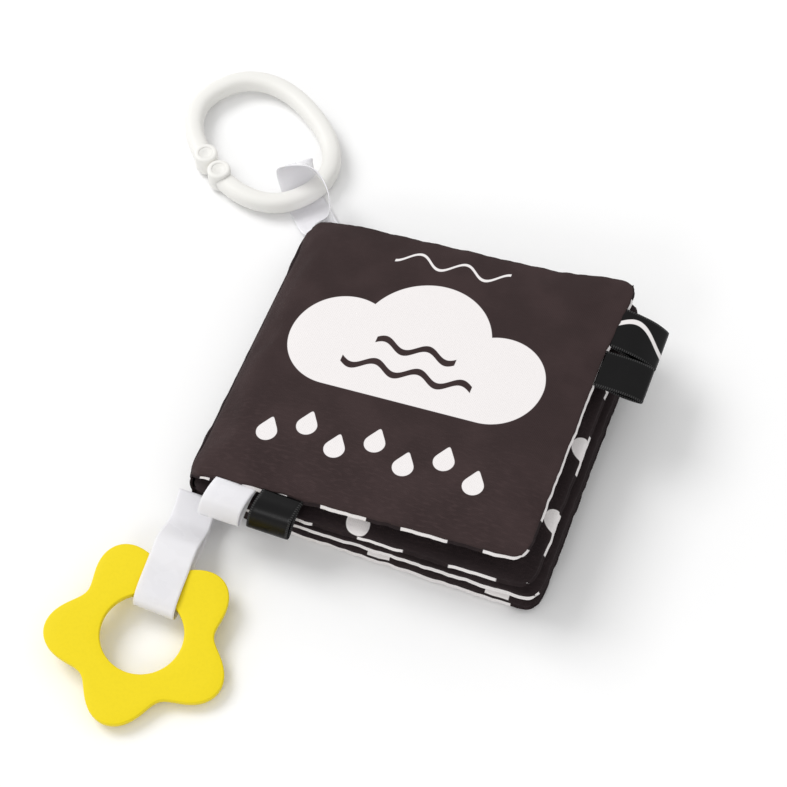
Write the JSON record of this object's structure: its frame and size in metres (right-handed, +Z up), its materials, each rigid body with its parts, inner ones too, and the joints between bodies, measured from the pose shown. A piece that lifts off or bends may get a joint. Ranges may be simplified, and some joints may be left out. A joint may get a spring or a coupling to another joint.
{
  "type": "cloth contrast book",
  "caption": "Padded cloth picture book that opens at its folded spine, with satin tags, a clasped oval clip ring on one ribbon and a flat star teether on another.",
  "frame": {"origin": "middle of the back cover's flat underside, on the surface that the closed book lies on", "axes": "+X from the spine to the open edge, +Y from the foot to the head of the pages, +Z up"},
  "size_m": [0.2116, 0.276, 0.0379],
  "materials": {
    "cover_cloth": "printed fine plain-weave polyester, brown-black with white print",
    "page_cloth": "printed fine plain-weave polyester, black and white",
    "wadding": "soft polyester wadding",
    "white_satin": "woven satin ribbon with a soft sheen",
    "black_satin": "woven satin ribbon with a soft sheen",
    "ring_plastic": "smooth moulded plastic",
    "teether_silicone": "satin moulded silicone"
  },
  "bodies": {
    "inner_back_leaf": {"inner_back_leaf_lower_cloth": "page_cloth", "inner_back_leaf_upper_cloth": "page_cloth", "inner_back_leaf_wadding": "wadding", "outer_spine_fold": "cover_cloth", "inner_spine_fold": "page_cloth"},
    "inner_front_leaf": {"inner_front_leaf_lower_cloth": "page_cloth", "inner_front_leaf_upper_cloth": "page_cloth", "inner_front_leaf_wadding": "wadding"},
    "front_cover": {"front_cover_inner_cloth": "page_cloth", "front_cover_outer_cloth": "cover_cloth", "front_cover_wadding": "wadding"},
    "back_cover": {"back_cover_outer_cloth": "cover_cloth", "back_cover_inner_cloth": "page_cloth", "back_cover_wadding": "wadding"},
    "ring_ribbon": {"ring_ribbon": "white_satin"},
    "ring": {"ring": "ring_plastic"},
    "teether_ribbon": {"teether_ribbon": "white_satin"},
    "teether": {"teether": "teether_silicone"},
    "white_foot_tag": {"white_foot_tag": "white_satin"},
    "black_foot_tag": {"black_foot_tag": "black_satin"},
    "plain_side_tag": {"plain_side_tag": "black_satin"},
    "wave_side_tag": {"wave_side_tag": "black_satin"}
  },
  "joints": [
    {"name": "front_cover_hinge", "type": "hinge", "parent": "inner_front_leaf", "child": "front_cover", "pos_m": [-0.0595, 0, 0.015], "axis": [0, 1, 0], "range_deg": [-140, 0], "deforming": ["outer_spine_fold"]},
    {"name": "centre_fold_hinge", "type": "hinge", "parent": "inner_back_leaf", "child": "inner_front_leaf", "pos_m": [-0.0595, 0, 0.011], "axis": [0, -1, 0], "range_deg": [0, 160], "deforming": ["outer_spine_fold", "inner_spine_fold"]},
    {"name": "back_cover_hinge", "type": "hinge", "parent": "inner_back_leaf", "child": "back_cover", "pos_m": [-0.0595, 0, 0.007], "axis": [0, -1, 0], "range_deg": [-140, 0], "deforming": ["outer_spine_fold"]},
    {"name": "ring_ribbon_hinge", "type": "hinge", "parent": "inner_back_leaf", "child": "ring_ribbon", "pos_m": [-0.0505, 0.0576, 0.01013], "axis": [1, 0, 0], "range_deg": [-50, 75], "deforming": ["ring_ribbon"]},
    {"name": "ring_swing", "type": "hinge", "parent": "ring_ribbon", "child": "ring", "pos_m": [-0.07157, 0.07911, 0.0052], "axis": [-0.7266, -0.687, 0], "range_deg": [-120, 120], "deforming": ["ring_ribbon"]},
    {"name": "teether_ribbon_hinge", "type": "hinge", "parent": "inner_back_leaf", "child": "teether_ribbon", "pos_m": [-0.05575, -0.0596, 0.00969], "axis": [-1, 0, 0], "range_deg": [-75, 75], "deforming": ["teether_ribbon"]},
    {"name": "teether_swing", "type": "hinge", "parent": "teether_ribbon", "child": "teether", "pos_m": [-0.05305, -0.10174, 0.00789], "axis": [0.995, 0, -0.0995], "range_deg": [-120, 120], "deforming": ["teether_ribbon"]},
    {"name": "white_foot_tag_bend", "type": "hinge", "parent": "front_cover", "child": "white_foot_tag", "pos_m": [-0.0415, -0.058, 0.02456], "axis": [1, 0, 0], "range_deg": [-75, 10], "stiffness_Nm_per_rad": 0.0001},
    {"name": "black_foot_tag_bend", "type": "hinge", "parent": "front_cover", "child": "black_foot_tag", "pos_m": [-0.0247, -0.058, 0.02676], "axis": [1, 0, 0], "range_deg": [-75, 20], "stiffness_Nm_per_rad": 0.0001},
    {"name": "plain_side_tag_bend", "type": "hinge", "parent": "front_cover", "child": "plain_side_tag", "pos_m": [0.0635, 0.023, 0.03629], "axis": [0, 1, 0], "range_deg": [-75, 45], "stiffness_Nm_per_rad": 0.0001},
    {"name": "wave_side_tag_bend", "type": "hinge", "parent": "front_cover", "child": "wave_side_tag", "pos_m": [0.0635, 0.0408, 0.03629], "axis": [0, 1, 0], "range_deg": [-75, 45], "stiffness_Nm_per_rad": 0.0001}
  ]
}
